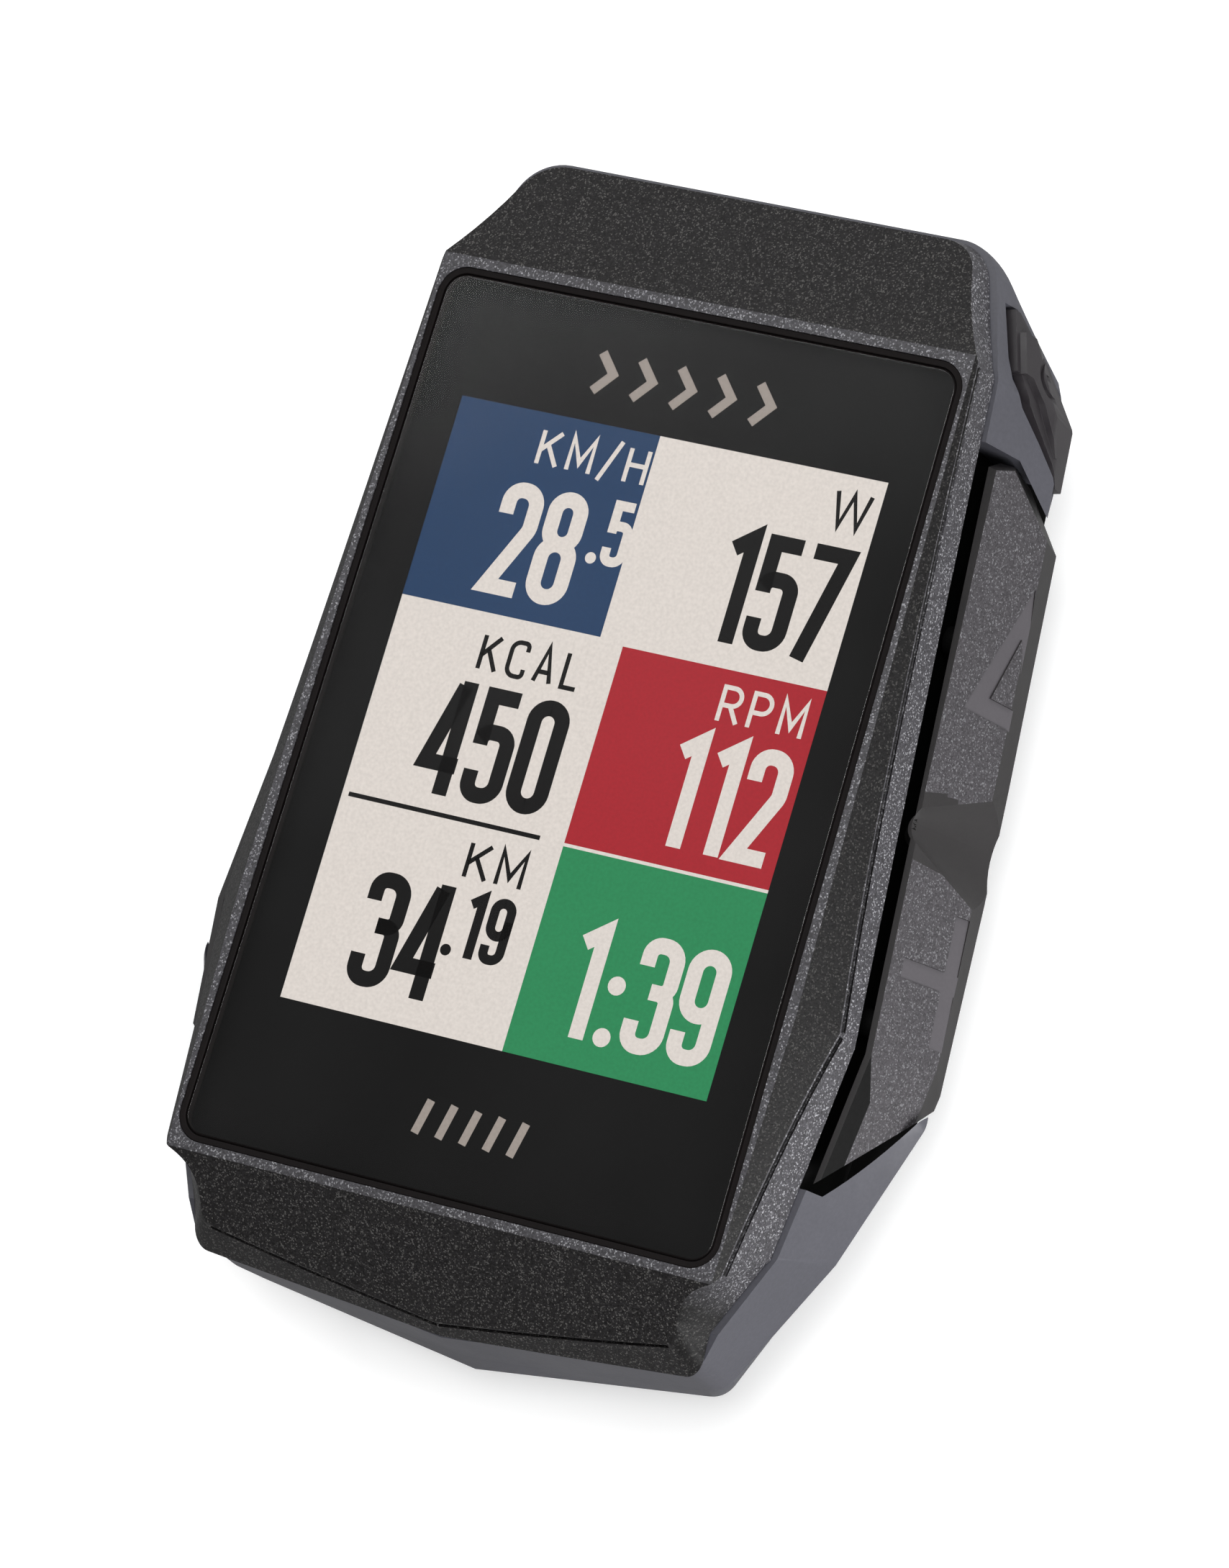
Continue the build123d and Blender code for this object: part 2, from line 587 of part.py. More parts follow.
# ---------------------------------------------------------------- display
panel_thickness = 1.4
with BuildPart() as display_panel:
    with BuildSketch(Plane.XY.offset(display_z - panel_thickness)):
        with Locations((0, panel_y)):
            Rectangle(*panel_size)
    extrude(amount=panel_thickness)
    chamfer(display_panel.edges().filter_by(Axis.Z), 0.4)
finish(display_panel, "display_panel")

backlight_size, backlight_height = (28.0, 40.5), 0.8
backlight_z = display_z - panel_thickness - backlight_height
with BuildPart() as backlight:
    with BuildSketch(Plane.XY.offset(backlight_z)):
        with Locations((0, panel_y)):
            RectangleRounded(*backlight_size, 0.5)
    extrude(amount=backlight_height)
finish(backlight, "backlight")

carrier_size, carrier_y, carrier_z = (29.8, 42.7), -1.25, board_top_z + 0.4
flex_width = 12.0
with BuildPart() as display_carrier:
    with BuildSketch(Plane.XY.offset(carrier_z)):
        with Locations((0, carrier_y)):
            RectangleRounded(*carrier_size, 1.0)
        with GridLocations(13.0, 19.0, 2, 2):
            RectangleRounded(10.0, 16.0, 1.0, mode=Mode.SUBTRACT)
    extrude(amount=ledge_low_z - carrier_z)
    with BuildSketch(Plane.XY.offset(backlight_z)):
        with Locations((0, panel_y)):
            Rectangle(backlight_size[0] + 0.4, backlight_size[1] + 0.4)
    extrude(amount=2, mode=Mode.SUBTRACT)
    with BuildSketch(Plane.XY.offset(carrier_z)):
        with Locations((0, carrier_y - carrier_size[1] / 2)):
            Rectangle(flex_width + 1, 4.4)
    extrude(amount=3, mode=Mode.SUBTRACT)
finish(display_carrier, "display_carrier")

connector_y, connector_height = -25.6, 0.9
with BuildPart() as display_connector:
    with BuildSketch(Plane.XY.offset(board_top_z)):
        with Locations((0, connector_y)):
            Rectangle(flex_width + 1, 2.2)
    extrude(amount=connector_height)
    with BuildSketch(Plane.XZ.offset(0.4 - connector_y)):
        with Locations((0, board_top_z + 0.45)):
            Rectangle(flex_width + 0.3, 0.35)
    extrude(amount=-3, mode=Mode.SUBTRACT)
finish(display_connector, "display_connector")

flex_z, plug_z = backlight_z + 0.72, board_top_z + 0.45
flex_path = [(-21.7, flex_z), (-22.0, flex_z), (-22.25, flex_z - 0.25), (-22.25, plug_z + 0.25),
             (-22.5, plug_z), (connector_y - 0.2, plug_z)]
with BuildPart() as display_flex:
    with BuildSketch(Plane.YZ):
        with BuildLine():
            Polyline(*flex_path)
            offset(amount=0.07, side=Side.BOTH)
        make_face()
    extrude(amount=flex_width / 2, both=True)
finish(display_flex, "display_flex")

# ---------------------------------------------------------------- main board and its parts
board_corners = [(0, 27.8), (10.6, 27.8), (side_x(23.6) - board_inset, 23.6),
                 (side_x(shoulder_y) - board_inset, shoulder_y), (15.2, -25.2), (12.4, -28.4),
                 (0, -28.4)]
with BuildPart() as main_board:
    extrude(to_extrude=outline(board_z, board_corners, {2: 1.0, 5: 1.0}), amount=board_top_z - board_z)
    with BuildSketch(Plane.XY.offset(board_z)):
        with Locations(*case_screw_spots):
            Circle(case_post_radius + 0.25)
        with Locations(*board_screw_spots):
            Circle(board_hole_radius + 0.1)
    extrude(amount=2, mode=Mode.SUBTRACT)
finish(main_board, "main_board")


def under_board(name, centre, size, gap=0.0):
    """Block-shaped component soldered to the board's underside, with bevelled lower edges."""
    width, height, depth = size
    with BuildPart() as component:
        with BuildSketch(Plane.XY.offset(board_z - gap)):
            with Locations(centre):
                Rectangle(width, height)
        extrude(amount=-depth)
        chamfer(component.faces().sort_by(Axis.Z)[0].edges(), 0.15)
    finish(component, name)


under_board("processor", (-3.5, 9.0), (8.0, 8.0, 0.8))
under_board("memory_chip", (4.5, 9.5), (5.0, 6.0, 0.8))
under_board("gps_receiver", (0.0, -5.5), (7.0, 7.0, 1.0))
under_board("radio_module", (-9.0, -8.0), (7.0, 9.0, 1.2))
under_board("pressure_sensor", (9.0, -4.0), (2.5, 2.5, 0.9))
under_board("buzzer", (0.0, 21.6), (8.5, 8.5, 1.8))
under_board("battery_connector", (11.2, -18.8), (4.6, 2.8, 1.4))

can_size, can_height, can_skin = (18.0, 13.0), 1.5, 0.2
with BuildPart() as shield_can:
    with BuildSketch(Plane.XY.offset(board_z)):
        with Locations((0, 8.8)):
            RectangleRounded(*can_size, 0.6)
    extrude(amount=-can_height)
    with BuildSketch(Plane.XY.offset(board_z)):
        with Locations((0, 8.8)):
            Rectangle(can_size[0] - 2 * can_skin, can_size[1] - 2 * can_skin)
    extrude(amount=can_skin - can_height, mode=Mode.SUBTRACT)
finish(shield_can, "shield_can")

with BuildPart() as gps_antenna:
    with BuildSketch(Plane.XY.offset(board_top_z)):
        with Locations((1.5, 26.1)):
            Rectangle(15.0, 3.0)
    extrude(amount=1.1)
    chamfer(gps_antenna.faces().sort_by(Axis.Z)[-1].edges(), 0.15)
finish(gps_antenna, "gps_antenna")

screw_head_radius, screw_head_height, screw_shank_radius = 1.4, 0.9, 0.75
with BuildPart() as board_screws:
    with BuildSketch(Plane.XY.offset(board_z)):
        with Locations(*board_screw_spots):
            Circle(screw_head_radius)
    extrude(amount=-screw_head_height)
    with BuildSketch(Plane.XY.offset(board_z)):
        with Locations(*board_screw_spots):
            Circle(screw_shank_radius)
    extrude(amount=2.7)
    with BuildSketch(Plane.XY.offset(board_z - screw_head_height)):
        with Locations(*board_screw_spots):
            RegularPolygon(0.7, 6)
    extrude(amount=0.5, mode=Mode.SUBTRACT)
finish(board_screws, "board_screws")

# Side-acting switches under the board's edges, one behind each rocker post.
switch_body, switch_plunger = (1.8, 4.4, 1.8), (0.5, 1.8, 1.1)
switch_inset = 4.8
plunger_inset = switch_inset - (switch_body[0] + switch_plunger[0]) / 2
with BuildPart() as key_switches:
    for side in (-1, 1):
        for y in (-key_reach, key_reach):
            with Locations((side * (side_x(y) - switch_inset), y, board_z - switch_body[2] / 2)):
                Box(*switch_body)
            with Locations((side * (side_x(y) - plunger_inset), y, key_post_z)):
                Box(*switch_plunger)
finish(key_switches, "key_switches")

with BuildPart() as power_switch:
    with BuildSketch(button_plane.offset(-4.8)):
        with Locations((0, (board_z + 8.7) / 2)):
            Rectangle(3.6, board_z - 8.7)
    extrude(amount=-2.8)
    with BuildSketch(button_plane.offset(-4.45)):
        with Locations((0, stem_z)):
            Circle(0.8)
    extrude(amount=-0.5)
finish(power_switch, "power_switch")

with BuildPart() as key_boots:
    for side in (-1, 1):
        for y in (-key_reach, key_reach):
            plane = Plane.YZ.offset(side * side_x(y))
            for inner, outer, radius in ((2.7, 1.15, boot_hole_radius - 0.04), (2.95, 2.6, 2.1),
                                         (3.35, 2.8, 0.7)):
                with BuildSketch(plane.offset(-side * inner)):
                    with Locations((y, key_post_z)):
                        Circle(radius)
                extrude(amount=side * (inner - outer))
finish(key_boots, "key_boots")

# ---------------------------------------------------------------- battery
battery_size, battery_z, battery_height, battery_y = (28.0, 33.0), 6.45, 3.45, 1.0
pad_size, pad_spots = (24.0, 4.2), [(0, 0), (0, 13.2), (0, -12.4)]
lead_radius, lead_spacing = 0.4, 1.5
with BuildPart() as battery:
    with BuildSketch(Plane.XY.offset(battery_z)):
        with Locations((0, battery_y)):
            RectangleRounded(*battery_size, 1.5)
    extrude(amount=battery_height)
    fillet(battery.faces().filter_by(Axis.Z).edges(), 0.7)
finish(battery, "battery")

with BuildPart() as battery_pads:
    with BuildSketch(Plane.XY.offset(floor_z)):
        with Locations(*pad_spots):
            RectangleRounded(*pad_size, 0.6)
    extrude(amount=battery_z - floor_z)
finish(battery_pads, "battery_pads")

with BuildPart() as battery_leads:
    for x in (10.4, 10.4 + lead_spacing):
        with BuildLine() as lead:
            Spline((x - 2.5, -15.5, 8.6), (x - 1.2, -16.6, 9.0), (x, -17.35, 11.0),
                   tangents=((0, -1, 0), (0, -1, 0.2)))
        lead_path = lead.wire()
        with BuildSketch(Plane(origin=lead_path @ 0, z_dir=lead_path % 0)):
            Circle(lead_radius)
        sweep(path=lead_path)
finish(battery_leads, "battery_leads")

# ---------------------------------------------------------------- charging port
port_z, socket_depth_z, port_seal_z, port_seal_height = 6.1, 4.6, 6.2, 0.7
port_shell, port_opening, port_tongue = (9.2, 3.4), (8.6, 2.8), (6.7, 0.7)
with BuildPart() as charge_port:
    with BuildSketch(Plane.XY.offset(port_z)):
        with Locations((0, port_y)):
            SlotOverall(*port_shell)
    extrude(amount=board_z - port_z)
    with BuildSketch(Plane.XY.offset(port_z)):
        with Locations((0, port_y)):
            SlotOverall(*port_opening)
            Rectangle(*port_tongue, mode=Mode.SUBTRACT)
    extrude(amount=socket_depth_z, mode=Mode.SUBTRACT)
finish(charge_port, "charge_port")

with BuildPart() as port_seal:
    with BuildSketch(Plane.XY.offset(port_seal_z)):
        with Locations((0, port_y)):
            SlotOverall(port_slot[0] - 0.06, port_slot[1] - 0.06)
            SlotOverall(port_shell[0] + 0.04, port_shell[1] + 0.04, mode=Mode.SUBTRACT)
    extrude(amount=port_seal_height)
finish(port_seal, "port_seal")

flap_low_z, flap_thickness, neck_foot_y = back_z + 0.05, 1.25, -22.5
plug_height, lip_size, lip_depth = 0.85, (6.0, 0.9), 0.35
with BuildPart() as port_cover:
    with BuildSketch(Plane.XY.offset(flap_low_z)):
        with Locations((0, port_recess_y - 0.13)):
            RectangleRounded(port_recess[0] - 0.6, port_recess[1] - 0.86, 1.0)
        with Locations((0, (port_pin_y + neck_foot_y) / 2)):
            Rectangle(knuckle_width - 0.8, port_pin_y - neck_foot_y)
    extrude(amount=flap_thickness)
    with BuildSketch(Plane.YZ.offset(0.4 - knuckle_width / 2)):
        with Locations((port_pin_y, port_pin_z)):
            Circle(port_knuckle_radius)
    extrude(amount=knuckle_width - 0.8)
    with BuildSketch(Plane.XY.offset(flap_low_z + flap_thickness)):
        with Locations((0, port_y - 0.1)):
            SlotOverall(*port_shell)
    extrude(amount=plug_height)
    # Thumb lip on the free edge.
    with BuildSketch(Plane.XY.offset(flap_low_z)):
        with Locations((0, port_recess_y - port_recess[1] / 2 + 0.9)):
            SlotOverall(*lip_size)
    extrude(amount=lip_depth, mode=Mode.SUBTRACT)
    with BuildSketch(Plane.YZ):
        with Locations((port_pin_y, port_pin_z)):
            Circle(port_pin_radius + running_clearance)
    extrude(amount=8, both=True, mode=Mode.SUBTRACT)
finish(port_cover, "port_cover")

with BuildPart() as port_cover_pin:
    with BuildSketch(Plane.YZ):
        with Locations((port_pin_y, port_pin_z)):
            Circle(port_pin_radius)
    extrude(amount=port_pin_half - 0.05, both=True)
finish(port_cover_pin, "port_cover_pin")

membrane_radius, membrane_thickness = 1.75, 0.25
with BuildPart() as vent_membrane:
    with BuildSketch(Plane.XY.offset(floor_z)):
        with Locations(vent_spot):
            Circle(membrane_radius)
    extrude(amount=membrane_thickness)
finish(vent_membrane, "vent_membrane")

# ---------------------------------------------------------------- fasteners of the case
thread_radius = 1.0
with BuildPart() as thread_inserts:
    with BuildSketch(Plane.XY.offset(case_post_z)):
        with Locations(*case_screw_spots):
            Circle(insert_radius)
            Circle(thread_radius, mode=Mode.SUBTRACT)
    extrude(amount=insert_height)
finish(thread_inserts, "thread_inserts")

head_radius, head_height, shank_radius, shank_length = 1.8, 1.3, 0.95, 4.4
socket_radius, socket_depth = 0.95, 0.8
with BuildPart() as case_screws:
    with BuildSketch(Plane.XY.offset(counterbore_z)):
        with Locations(*case_screw_spots):
            Circle(head_radius)
    extrude(amount=-head_height)
    with BuildSketch(Plane.XY.offset(counterbore_z)):
        with Locations(*case_screw_spots):
            Circle(shank_radius)
    extrude(amount=shank_length)
    with BuildSketch(Plane.XY.offset(counterbore_z - head_height)):
        with Locations(*case_screw_spots):
            RegularPolygon(socket_radius, 6)
    extrude(amount=socket_depth, mode=Mode.SUBTRACT)
finish(case_screws, "case_screws")

# ---------------------------------------------------------------- quarter-turn mount
tab_thickness, tab_angle = 1.5, 58
flange_radius, flange_thickness = mount_tab_radius - 1.2, 1.1
mount_counterbore_radius, mount_seat_z, mount_bore_radius = 2.15, 1.7, 1.15
dish_radius, dish_depth = 4.2, 0.8
with BuildPart() as quarter_turn_mount:
    with BuildSketch(Plane.XY):
        Circle(mount_core_radius)
    extrude(amount=back_z)
    with BuildSketch(Plane.XY.offset(back_z - flange_thickness)):
        Circle(flange_radius)
    extrude(amount=flange_thickness)
    with BuildSketch(Plane.XY):
        Circle(mount_tab_radius)
        with Locations((0, 0)):
            Rectangle(2 * mount_tab_radius, 2 * mount_tab_radius * math.tan(math.radians(tab_angle / 2)),
                      mode=Mode.INTERSECT)
    extrude(amount=tab_thickness)
    foot_arcs = quarter_turn_mount.faces().sort_by(Axis.Z)[0].edges().filter_by(GeomType.CIRCLE)
    chamfer(foot_arcs.sort_by(SortBy.RADIUS)[-2:], 0.35)
    with BuildSketch(Plane.XY):
        with Locations(*mount_screw_spots):
            Circle(mount_counterbore_radius)
    extrude(amount=mount_seat_z, mode=Mode.SUBTRACT)
    with BuildSketch(Plane.XY):
        with Locations(*mount_screw_spots):
            Circle(mount_bore_radius)
    extrude(amount=back_z, mode=Mode.SUBTRACT)
    # Shallow dish that saves material between the screws.
    with BuildSketch(Plane.XY):
        Circle(dish_radius)
    extrude(amount=dish_depth, mode=Mode.SUBTRACT)
finish(quarter_turn_mount, "quarter_turn_mount")

mount_head_radius, mount_shank_length, mount_socket_radius = 1.95, 4.1, 1.0
with BuildPart() as mount_screws:
    with BuildSketch(Plane.XY.offset(mount_seat_z)):
        with Locations(*mount_screw_spots):
            Circle(mount_head_radius)
    extrude(amount=-head_height)
    with BuildSketch(Plane.XY.offset(mount_seat_z)):
        with Locations(*mount_screw_spots):
            Circle(mount_hole_radius - 0.02)
    extrude(amount=mount_shank_length)
    with BuildSketch(Plane.XY.offset(mount_seat_z - head_height)):
        with Locations(*mount_screw_spots):
            RegularPolygon(mount_socket_radius, 6)
    extrude(amount=socket_depth, mode=Mode.SUBTRACT)
finish(mount_screws, "mount_screws")
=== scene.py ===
"""Looks of the cycling computer: materials, screen graphics, floor, light and camera."""
import math

import bmesh
import bpy
from mathutils import Matrix, Vector


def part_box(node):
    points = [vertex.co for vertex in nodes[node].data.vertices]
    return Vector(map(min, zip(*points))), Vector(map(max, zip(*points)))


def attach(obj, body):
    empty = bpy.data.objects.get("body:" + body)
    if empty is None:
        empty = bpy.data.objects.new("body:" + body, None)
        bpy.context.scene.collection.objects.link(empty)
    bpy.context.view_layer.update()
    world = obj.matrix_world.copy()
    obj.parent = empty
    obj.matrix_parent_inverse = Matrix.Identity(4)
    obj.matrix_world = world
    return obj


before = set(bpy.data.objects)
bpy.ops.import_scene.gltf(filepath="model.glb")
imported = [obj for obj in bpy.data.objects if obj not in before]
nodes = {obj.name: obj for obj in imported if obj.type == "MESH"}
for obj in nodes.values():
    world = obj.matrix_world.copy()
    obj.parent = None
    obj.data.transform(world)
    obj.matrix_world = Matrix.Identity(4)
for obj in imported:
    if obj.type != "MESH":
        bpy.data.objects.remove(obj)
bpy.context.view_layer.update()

MM = 0.001
bpy.context.scene.view_settings.view_transform = "Standard"


# ------------------------------------------------------------------ shader helpers
class Shader:
    """A material under construction; every call adds a node and returns an output socket."""

    def __init__(self, name):
        self.material = bpy.data.materials.new(name)
        self.material.use_nodes = True
        self.tree = self.material.node_tree
        self.tree.nodes.clear()
        self.output = self.tree.nodes.new("ShaderNodeOutputMaterial")
        self.place = self.node("ShaderNodeTexCoord").outputs["Object"]

    def node(self, kind, **values):
        made = self.tree.nodes.new(kind)
        for key, value in values.items():
            setattr(made, key, value)
        return made

    def feed(self, socket, value):
        """Connect value to socket if it is a socket, or else set it."""
        if isinstance(value, bpy.types.NodeSocket):
            self.tree.links.new(value, socket)
        elif isinstance(value, (tuple, list)) and len(value) == 3 and socket.type == "RGBA":
            socket.default_value = (*value, 1)
        else:
            socket.default_value = value

    def noise(self, scale, detail=2.0, roughness=0.5, at=None):
        made = self.node("ShaderNodeTexNoise")
        self.feed(made.inputs["Vector"], at or self.place)
        self.feed(made.inputs["Scale"], scale)
        self.feed(made.inputs["Detail"], detail)
        self.feed(made.inputs["Roughness"], roughness)
        return made.outputs["Fac"]

    def cells(self, scale, output, feature="F1"):
        made = self.node("ShaderNodeTexVoronoi", feature=feature)
        self.feed(made.inputs["Vector"], self.place)
        self.feed(made.inputs["Scale"], scale)
        return made.outputs[output]

    def ramp(self, value, low, high, start=0.0, end=1.0):
        """Remap value so that low gives start and high gives end, held at both ends."""
        made = self.node("ShaderNodeMapRange")
        for key, number in (("Value", value), ("From Min", low), ("From Max", high),
                            ("To Min", start), ("To Max", end)):
            self.feed(made.inputs[key], number)
        return made.outputs["Result"]

    def math(self, operation, first, second=0.0):
        made = self.node("ShaderNodeMath", operation=operation)
        self.feed(made.inputs[0], first)
        self.feed(made.inputs[1], second)
        return made.outputs[0]

    def mix(self, share, first, second):
        made = self.node("ShaderNodeMix", data_type="RGBA")
        self.feed(made.inputs["Factor"], share)
        self.feed(made.inputs["A"], first)
        self.feed(made.inputs["B"], second)
        return made.outputs["Result"]

    def stretched(self, x, y, z):
        made = self.node("ShaderNodeMapping")
        self.feed(made.inputs["Vector"], self.place)
        made.inputs["Scale"].default_value = (x, y, z)
        return made.outputs["Vector"]

    def axis(self, vector, name):
        made = self.node("ShaderNodeSeparateXYZ")
        self.feed(made.inputs[0], vector)
        return made.outputs[name]

    def bump(self, height, strength, depth):
        made = self.node("ShaderNodeBump")
        self.feed(made.inputs["Height"], height)
        made.inputs["Strength"].default_value = strength
        made.inputs["Distance"].default_value = depth
        return made.outputs["Normal"]

    def finish(self, colour, roughness, normal=None, **extra):
        made = self.node("ShaderNodeBsdfPrincipled")
        self.feed(made.inputs["Base Color"], colour)
        self.feed(made.inputs["Roughness"], roughness)
        if normal is not None:
            self.feed(made.inputs["Normal"], normal)
        for key, value in extra.items():
            self.feed(made.inputs[key.replace("_", " ")], value)
        self.tree.links.new(made.outputs[0], self.output.inputs["Surface"])
        return self.material


def grey(level, warm=0.0):
    return (level * (1 + warm), level, level * (1 - warm))


# ------------------------------------------------------------------ materials
fleck_grain = 11000
flake_tint = (1.0, 1.0, 1.06)

# Where the cover is darker, partly a darker finish and partly painted shade: from the steep band's lean
# (the normal's Z)
# # up to the level rim's, and, all painted shade, from one Y to the next at its bottom end. The last
# pair is how far a
# # slope faces sideways (its X), where the extra darkening is painted shade too.
steep_band, level_rim = (0.5, 0.58), (0.985, 0.96)
bottom_end = (-27.2 * MM, -29.2 * MM)
facing_sideways = (0.2, 0.4)


def shade(colour, share):
    return tuple(c * share for c in colour)


def slope_tone_and_painted_shade(s, colour, facets):
    """Colour multiplied by facets on the cover's slopes (partly a darker finish, partly painted shade)
    and its bottom end (painted shade), and by half of facets where they face sideways (painted shade
    too).
    Also returns where that is, as a share from 0 to 1."""
    normal = s.node("ShaderNodeNewGeometry").outputs["True Normal"]
    lean = s.axis(normal, "Z")
    slope = s.math("MULTIPLY", s.ramp(lean, *steep_band), s.ramp(lean, *level_rim))
    slope = s.math("MAXIMUM", slope, s.ramp(s.axis(s.place, "Y"), *bottom_end))
    sideways = s.ramp(s.math("ABSOLUTE", s.axis(normal, "X")), *facing_sideways)
    toned_and_shaded = s.mix(1.0, colour, s.mix(sideways, facets, shade(facets, 0.5)))
    toned_and_shaded.node.blend_type = "MULTIPLY"
    return s.mix(slope, colour, toned_and_shaded), slope


def sparkling(name, dark, light, roughness, flake, facets=None):
    """Moulded plastic with a fine eroded grain and metallic flecks."""
    s = Shader(name)
    fine = s.noise(fleck_grain * 0.6, 2.0, 0.6)
    speck = s.axis(s.cells(fleck_grain, "Color"), "X")
    tone = s.ramp(s.math("ADD", s.math("MULTIPLY", speck, 0.6), fine), 0.45, 1.15)
    flecks = s.ramp(s.axis(s.cells(fleck_grain * 1.2, "Color"), "Y"), 0.8, 1.0)
    base = s.mix(tone, dark, light)
    colour = s.mix(s.math("MULTIPLY", flecks, 0.55), base, shade(flake_tint, flake))
    gloss = 0.45
    if facets:
        # On the cover, the slopes are darkened, partly as a darker finish and partly as painted shade.
        # The sideways slopes and the bottom end are painted shade.
        colour, slope = slope_tone_and_painted_shade(s, colour, facets)
        gloss = s.ramp(slope, 0, 1, 0.45, 0.22)
    rough = s.ramp(fine, 0.3, 0.7, roughness - 0.08, roughness + 0.1)
    grit = s.math("ADD", s.math("MULTIPLY", speck, 0.5), fine)
    return s.finish(colour, rough, s.bump(grit, 0.6, 0.00003), Specular_IOR_Level=gloss)


def moulded(name, colour, roughness, spread=0.12, grain=3800, strength=0.25, **extra):
    """Plain moulded plastic or rubber with a faint mottle and a fine matt texture."""
    s = Shader(name)
    mottle = s.noise(140, 4.0, 0.6)
    texture = s.noise(grain, 2.0, 0.5)
    low, high = shade(colour, 1 - spread), shade(colour, 1 + spread)
    base = s.mix(s.ramp(s.math("ADD", mottle, texture), 0.7, 1.3), low, high)
    rough = s.ramp(mottle, 0.3, 0.7, roughness - 0.06, roughness + 0.06)
    return s.finish(base, rough, s.bump(texture, strength, 0.00002), **extra)


def metal(name, colour, roughness):
    """Turned or drawn metal, with fine streaks across its height."""
    s = Shader(name)
    streaks = s.noise(900, 3.0, 0.6, at=s.stretched(1, 1, 30))
    base = s.mix(streaks, shade(colour, 0.82), colour)
    rough = s.ramp(streaks, 0.3, 0.7, roughness - 0.08, roughness + 0.12)
    return s.finish(base, rough, s.bump(streaks, 0.2, 0.00002), Metallic=1.0)


def board_finish(name):
    """Green solder mask over copper tracks."""
    s = Shader(name)
    tracks = s.ramp(s.cells(700, "Distance", "DISTANCE_TO_EDGE"), 0.04, 0.07)
    base = s.mix(tracks, (0.02, 0.16, 0.07), (0.008, 0.07, 0.035))
    return s.finish(base, s.ramp(tracks, 0, 1, 0.28, 0.4), s.bump(tracks, 0.3, 0.00003))


def foil_finish(name):
    """Crinkled aluminium pouch of the battery."""
    s = Shader(name)
    crease = s.noise(260, 5.0, 0.65)
    base = s.mix(crease, grey(0.42), grey(0.66, -0.01))
    rough = s.ramp(crease, 0.3, 0.7, 0.28, 0.45)
    return s.finish(base, rough, s.bump(crease, 0.5, 0.0002), Metallic=0.9)


def glass_finish(name):
    """Hardened cover glass: clear, with a soft reflection and a trace of smear."""
    s = Shader(name)
    smear = s.noise(60, 3.0, 0.5)
    rough = s.ramp(smear, 0.3, 0.7, 0.16, 0.22)
    gloss = s.node("ShaderNodeBsdfGlossy")
    s.feed(gloss.inputs["Color"], grey(1.0))
    s.feed(gloss.inputs["Roughness"], rough)
    s.feed(gloss.inputs["Normal"], s.bump(s.noise(2500, 2.0), 0.04, 0.00001))
    clear = s.node("ShaderNodeBsdfTransparent")
    s.feed(clear.inputs["Color"], grey(0.98))
    fresnel = s.node("ShaderNodeFresnel")
    fresnel.inputs["IOR"].default_value = 1.45
    blend = s.node("ShaderNodeMixShader")
    facing = s.node("ShaderNodeNewGeometry").outputs["Backfacing"]
    share = s.math("MULTIPLY", fresnel.outputs[0], s.math("SUBTRACT", 1.0, facing))
    s.feed(blend.inputs[0], share)
    s.tree.links.new(clear.outputs[0], blend.inputs[1])
    s.tree.links.new(gloss.outputs[0], blend.inputs[2])
    s.tree.links.new(blend.outputs[0], s.output.inputs["Surface"])
    return s.material


def screen_ink(name, colour, glow=1.0):
    """One colour of the lit screen, with the display's faint pixel grain."""
    s = Shader(name)
    grain = s.noise(5200, 2.0, 0.5)
    base = s.mix(s.ramp(grain, 0.3, 0.7), shade(colour, 0.93), shade(colour, 1.05))
    lit = s.mix(glow, base, (0, 0, 0))
    return s.finish(lit, s.ramp(grain, 0.3, 0.7, 0.5, 0.65), s.bump(grain, 0.1, 0.00001),
                    Emission_Color=base, Emission_Strength=glow, Specular_IOR_Level=0.1)


# The cover's facets tint darkens its slopes: partly a darker finish, partly painted shade.
cover_finish = sparkling("cover_plastic", (0.018, 0.017, 0.0195), (0.054, 0.052, 0.060), 0.48, 0.5,
                         facets=(0.33, 0.32, 0.29))
key_finish = sparkling("key_plastic", (0.024, 0.022, 0.025), (0.054, 0.050, 0.056), 0.5, 0.24)
# Painted shade: a darker, plainer copy of the key plastic for the rockers' faces that turn from the
# light (thumb groove, outer facets, ends).
key_painted_shade = moulded("key_plastic_painted_shade", (0.013, 0.0115, 0.012), 0.5, 0.15, 7000, 0.2)
button_finish = moulded("button_plastic", (0.017, 0.0145, 0.017), 0.42, 0.12, 7000, 0.15)
# Black rubber of the key boots, and painted shade on the rockers' and the shell's faces deep in the
# pockets.
boot_black_and_painted_shade = moulded("boot_black_and_painted_shade", (0.006, 0.006, 0.006), 0.7, 0.2, Specular_IOR_Level=0.1)
key_smooth = moulded("key_symbol_plastic", (0.066, 0.061, 0.068), 0.45, 0.06, 6000, 0.1)
shell_finish = moulded("shell_plastic", (0.060, 0.060, 0.073), 0.5, 0.1, 4200, 0.3)
rubber = moulded("rubber", (0.014, 0.012, 0.012), 0.62, 0.25)
gasket_rubber = moulded("gasket_rubber", (0.005, 0.0036, 0.0036), 0.7, 0.2, Specular_IOR_Level=0.12)
black_plastic = moulded("black_plastic", (0.02, 0.02, 0.021), 0.5, 0.2)
chip_epoxy = moulded("chip_epoxy", (0.022, 0.022, 0.023), 0.42, 0.2, 5200)
ceramic = moulded("ceramic", (0.72, 0.69, 0.62), 0.4, 0.06)
film = moulded("polyimide_film", (0.42, 0.2, 0.035), 0.25, 0.1, 2000, 0.1)
